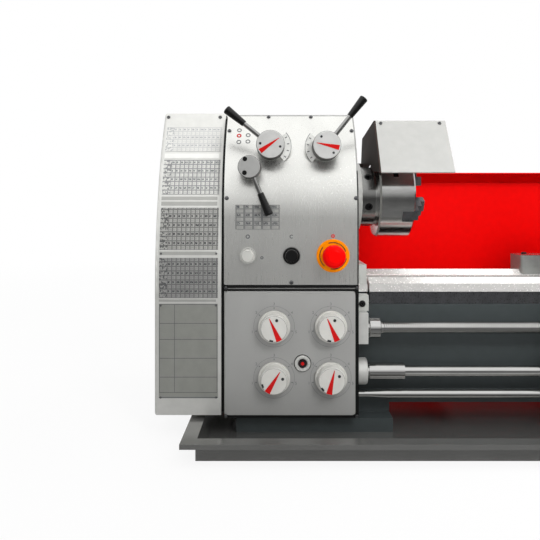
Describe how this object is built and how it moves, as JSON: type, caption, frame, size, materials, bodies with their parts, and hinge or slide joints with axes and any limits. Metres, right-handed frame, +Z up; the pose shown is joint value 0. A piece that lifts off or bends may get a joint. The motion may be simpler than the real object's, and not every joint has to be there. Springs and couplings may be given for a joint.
{
  "type": "screw-cutting lathe",
  "caption": "Bench screw-cutting lathe with geared headstock, feed gearbox, cam-lock chuck, carriage, tailstock, chip tray and splash guard.",
  "frame": {"origin": "middle of the bench-bolt pattern, on the underside of the chip tray", "axes": "+X along the bed from the headstock to the tailstock, -Y towards the operator, +Z up"},
  "size_m": [1.674, 0.554, 0.5997],
  "materials": {
    "tray_paint": "satin light grey paint",
    "guard_red": "gloss red paint",
    "bed_iron": "painted sides, ground ways",
    "grey_paint": "satin light grey paint",
    "cover_paint": "silver-grey paint",
    "panel_silver": "vertically brushed",
    "ground_steel": "ground",
    "gear_steel": "machined, oiled",
    "bearing_steel": "polished",
    "chrome_lever": "satin hub and polished arm",
    "grip_black": "moulded",
    "dial_white": "off-white enamel",
    "button_white": "moulded",
    "button_black": "moulded",
    "stop_red": "moulded",
    "glass_bezel": "metal-coloured bezel with dark window",
    "belt_rubber": "matt",
    "motor_paint": "satin grey paint",
    "guard_sheet": "grey sheet",
    "handle_steel": "polished"
  },
  "bodies": {
    "base": {"chip_tray": "tray_paint", "splash_guard": "guard_red", "bed": "bed_iron", "headstock_casting": "grey_paint", "headstock_panel": "panel_silver", "headstock_cover": "grey_paint", "gearbox_case": "grey_paint", "gearbox_panel": "panel_silver", "spindle_bearings": "bearing_steel", "bearing_covers": "ground_steel", "sight_glass": "glass_bezel", "tail_bracket": "grey_paint", "quadrant": "gear_steel", "drive_belt": "belt_rubber", "motor": "motor_paint"},
    "end_cover": {"end_cover": "cover_paint"},
    "spindle": {"spindle": "ground_steel", "camlock_cams": "gear_steel", "chuck_body": "ground_steel"},
    "jaw_1": {"chuck_jaw_1": "gear_steel"},
    "jaw_2": {"chuck_jaw_2": "gear_steel"},
    "jaw_3": {"chuck_jaw_3": "gear_steel"},
    "stud": {"stud_gear": "gear_steel"},
    "idler": {"idler_gear": "gear_steel"},
    "gearbox_input": {"gearbox_gear": "gear_steel"},
    "input_drive": {"input_pulley": "gear_steel"},
    "motor_drive": {"motor_pulley": "gear_steel"},
    "left_lever": {"left_lever": "chrome_lever", "left_lever_grip": "grip_black"},
    "right_lever": {"right_lever": "chrome_lever", "right_lever_grip": "grip_black"},
    "feed_lever": {"feed_lever": "chrome_lever", "feed_lever_grip": "grip_black"},
    "dial_1": {"gear_dial_1": "dial_white"},
    "dial_2": {"gear_dial_2": "dial_white"},
    "dial_3": {"gear_dial_3": "dial_white"},
    "dial_4": {"gear_dial_4": "dial_white"},
    "start_button": {"start_button": "button_white"},
    "jog_button": {"jog_button": "button_black"},
    "e_stop": {"e_stop_button": "stop_red"},
    "leadscrew": {"leadscrew": "ground_steel"},
    "feed_rod": {"feed_rod": "ground_steel"},
    "control_rod": {"control_rod": "ground_steel"},
    "carriage": {"saddle": "bed_iron", "apron": "grey_paint"},
    "carriage_handwheel": {"carriage_handwheel": "handle_steel"},
    "half_nut_lever": {"half_nut_lever": "handle_steel"},
    "control_lever": {"control_lever": "handle_steel"},
    "cross_slide": {"cross_slide": "ground_steel"},
    "cross_handle": {"cross_handle": "handle_steel"},
    "compound_base": {"compound_base": "ground_steel"},
    "top_slide": {"top_slide": "ground_steel"},
    "top_slide_handle": {"top_slide_handle": "handle_steel"},
    "toolpost": {"toolpost": "gear_steel"},
    "toolpost_lever": {"toolpost_lever": "handle_steel"},
    "tailstock": {"tailstock": "grey_paint"},
    "quill": {"tailstock_quill": "ground_steel"},
    "tailstock_handwheel": {"tailstock_handwheel": "handle_steel"},
    "tailstock_clamp": {"tailstock_clamp": "handle_steel"},
    "chuck_guard": {"chuck_guard": "guard_sheet"}
  },
  "joints": [
    {"name": "end_cover_swing", "type": "hinge", "parent": "base", "child": "end_cover", "pos_m": [-0.774, 0.262, 0.31], "axis": [0, 0, -1], "range_deg": [0, 110]},
    {"name": "spindle_turn", "type": "hinge", "parent": "base", "child": "spindle", "pos_m": [-0.6, 0, 0.427], "axis": [1, 0, 0], "continuous": true},
    {"name": "jaw_1_slide", "type": "slide", "parent": "spindle", "child": "jaw_1", "axis": [0, 0, 1], "range_m": [-0.01, 0.008]},
    {"name": "jaw_2_slide", "type": "slide", "parent": "spindle", "child": "jaw_2", "axis": [0, -0.866, -0.5], "range_m": [-0.01, 0.008]},
    {"name": "jaw_3_slide", "type": "slide", "parent": "spindle", "child": "jaw_3", "axis": [0, 0.866, -0.5], "range_m": [-0.01, 0.008]},
    {"name": "stud_turn", "type": "hinge", "parent": "base", "child": "stud", "pos_m": [-0.7, -0.04564, 0.32912], "axis": [1, 0, 0], "continuous": true},
    {"name": "idler_turn", "type": "hinge", "parent": "base", "child": "idler", "pos_m": [-0.807, -0.06311, 0.24695], "axis": [1, 0, 0], "continuous": true},
    {"name": "gearbox_input_turn", "type": "hinge", "parent": "base", "child": "gearbox_input", "pos_m": [-0.8, -0.10368, 0.15995], "axis": [1, 0, 0], "continuous": true},
    {"name": "input_drive_turn", "type": "hinge", "parent": "base", "child": "input_drive", "pos_m": [-0.7, 0.08833, 0.376], "axis": [1, 0, 0], "continuous": true},
    {"name": "motor_drive_turn", "type": "hinge", "parent": "base", "child": "motor_drive", "pos_m": [-0.8, 0.185, 0.15], "axis": [1, 0, 0], "continuous": true},
    {"name": "left_lever_turn", "type": "hinge", "parent": "base", "child": "left_lever", "pos_m": [-0.6886, -0.14, 0.5137], "axis": [0, -1, 0], "range_deg": [-35, 35]},
    {"name": "right_lever_turn", "type": "hinge", "parent": "base", "child": "right_lever", "pos_m": [-0.5909, -0.14, 0.512], "axis": [0, -1, 0], "range_deg": [-35, 35]},
    {"name": "feed_lever_turn", "type": "hinge", "parent": "base", "child": "feed_lever", "pos_m": [-0.7249, -0.145, 0.4742], "axis": [0, -1, 0], "range_deg": [-45, 45]},
    {"name": "dial_1_turn", "type": "hinge", "parent": "base", "child": "dial_1", "pos_m": [-0.6823, -0.15, 0.1959], "axis": [0, -1, 0], "range_deg": [-60, 60]},
    {"name": "dial_2_turn", "type": "hinge", "parent": "base", "child": "dial_2", "pos_m": [-0.5829, -0.15, 0.1959], "axis": [0, -1, 0], "range_deg": [-60, 60]},
    {"name": "dial_3_turn", "type": "hinge", "parent": "base", "child": "dial_3", "pos_m": [-0.6823, -0.15, 0.1061], "axis": [0, -1, 0], "range_deg": [-75, 75]},
    {"name": "dial_4_turn", "type": "hinge", "parent": "base", "child": "dial_4", "pos_m": [-0.5829, -0.15, 0.1061], "axis": [0, -1, 0], "range_deg": [-60, 60]},
    {"name": "start_button_press", "type": "slide", "parent": "base", "child": "start_button", "axis": [0, 1, 0], "range_m": [0, 0.004], "stiffness_N_per_m": 300, "springref_m": -0.002},
    {"name": "jog_button_press", "type": "slide", "parent": "base", "child": "jog_button", "axis": [0, 1, 0], "range_m": [0, 0.004], "stiffness_N_per_m": 300, "springref_m": -0.002},
    {"name": "e_stop_press", "type": "slide", "parent": "base", "child": "e_stop", "axis": [0, 1, 0], "range_m": [0, 0.006]},
    {"name": "leadscrew_turn", "type": "hinge", "parent": "base", "child": "leadscrew", "pos_m": [0, -0.12, 0.188], "axis": [1, 0, 0], "continuous": true},
    {"name": "feed_rod_turn", "type": "hinge", "parent": "base", "child": "feed_rod", "pos_m": [0, -0.12, 0.11], "axis": [1, 0, 0], "continuous": true},
    {"name": "control_rod_turn", "type": "hinge", "parent": "base", "child": "control_rod", "pos_m": [0, -0.12, 0.069], "axis": [1, 0, 0], "range_deg": [-20, 20]},
    {"name": "carriage_slide", "type": "slide", "parent": "base", "child": "carriage", "axis": [1, 0, 0], "range_m": [-0.2, 0.1]},
    {"name": "carriage_handwheel_turn", "type": "hinge", "parent": "carriage", "child": "carriage_handwheel", "pos_m": [-0.085, -0.19, 0.19], "axis": [0, -1, 0], "range_deg": [-1502, 3002]},
    {"name": "half_nut_turn", "type": "hinge", "parent": "carriage", "child": "half_nut_lever", "pos_m": [0.07, -0.18, 0.205], "axis": [0, -1, 0], "range_deg": [0, 45]},
    {"name": "control_lever_turn", "type": "hinge", "parent": "carriage", "child": "control_lever", "pos_m": [0.16, -0.12, 0.069], "axis": [1, 0, 0], "range_deg": [-21, 21]},
    {"name": "cross_slide_move", "type": "slide", "parent": "carriage", "child": "cross_slide", "axis": [0, 1, 0], "range_m": [-0.045, 0.06]},
    {"name": "cross_handle_turn", "type": "hinge", "parent": "carriage", "child": "cross_handle", "pos_m": [0, -0.17, 0.2882], "axis": [0, -1, 0], "range_deg": [-5402, 4052]},
    {"name": "compound_swivel", "type": "hinge", "parent": "cross_slide", "child": "compound_base", "pos_m": [0, 0, 0.34], "axis": [0, 0, 1], "range_deg": [-45, 45]},
    {"name": "top_slide_move", "type": "slide", "parent": "compound_base", "child": "top_slide", "axis": [1, 0, 0], "range_m": [-0.04, 0.04]},
    {"name": "top_slide_handle_turn", "type": "hinge", "parent": "top_slide", "child": "top_slide_handle", "pos_m": [0.1, 0, 0.3732], "axis": [1, 0, 0], "range_deg": [-4802, 4802]},
    {"name": "toolpost_turn", "type": "hinge", "parent": "top_slide", "child": "toolpost", "pos_m": [-0.03, 0, 0.42], "axis": [0, 0, 1], "continuous": true},
    {"name": "toolpost_lever_turn", "type": "hinge", "parent": "top_slide", "child": "toolpost_lever", "pos_m": [-0.03, 0, 0.46], "axis": [0, 0, 1], "range_deg": [-30, 30]},
    {"name": "tailstock_slide", "type": "slide", "parent": "base", "child": "tailstock", "axis": [1, 0, 0], "range_m": [-0.03, 0.04]},
    {"name": "quill_feed", "type": "slide", "parent": "tailstock", "child": "quill", "axis": [-1, 0, 0], "range_m": [0, 0.1]},
    {"name": "tailstock_handwheel_turn", "type": "hinge", "parent": "tailstock", "child": "tailstock_handwheel", "pos_m": [0.69, 0, 0.427], "axis": [1, 0, 0], "range_deg": [-7202, 2]},
    {"name": "tailstock_clamp_turn", "type": "hinge", "parent": "tailstock", "child": "tailstock_clamp", "pos_m": [0.58, 0.05, 0.372], "axis": [0, 1, 0], "range_deg": [-60, 0]},
    {"name": "chuck_guard_swing", "type": "hinge", "parent": "base", "child": "chuck_guard", "pos_m": [-0.52, 0.1, 0.494], "axis": [-1, 0, 0], "range_deg": [0, 90]}
  ],
  "couplings": [
    {"joint": "input_drive_turn", "follows": "spindle_turn", "ratio": -2.4},
    {"joint": "motor_drive_turn", "follows": "spindle_turn", "ratio": -4.5},
    {"joint": "stud_turn", "follows": "spindle_turn", "ratio": -2},
    {"joint": "idler_turn", "follows": "spindle_turn", "ratio": 0.8},
    {"joint": "gearbox_input_turn", "follows": "spindle_turn", "ratio": -1.3333},
    {"joint": "leadscrew_turn", "follows": "spindle_turn", "ratio": -0.33333},
    {"joint": "feed_rod_turn", "follows": "spindle_turn", "ratio": -0.16667},
    {"joint": "jaw_2_slide", "follows": "jaw_1_slide", "ratio": 1},
    {"joint": "jaw_3_slide", "follows": "jaw_1_slide", "ratio": 1},
    {"joint": "control_lever_turn", "follows": "control_rod_turn", "ratio": 1},
    {"joint": "carriage_handwheel_turn", "follows": "carriage_slide", "rad_per_m": -261.8},
    {"joint": "cross_handle_turn", "follows": "cross_slide_move", "rad_per_m": -1570.8},
    {"joint": "top_slide_handle_turn", "follows": "top_slide_move", "rad_per_m": 2094.4},
    {"joint": "tailstock_handwheel_turn", "follows": "quill_feed", "rad_per_m": -1256.6}
  ]
}
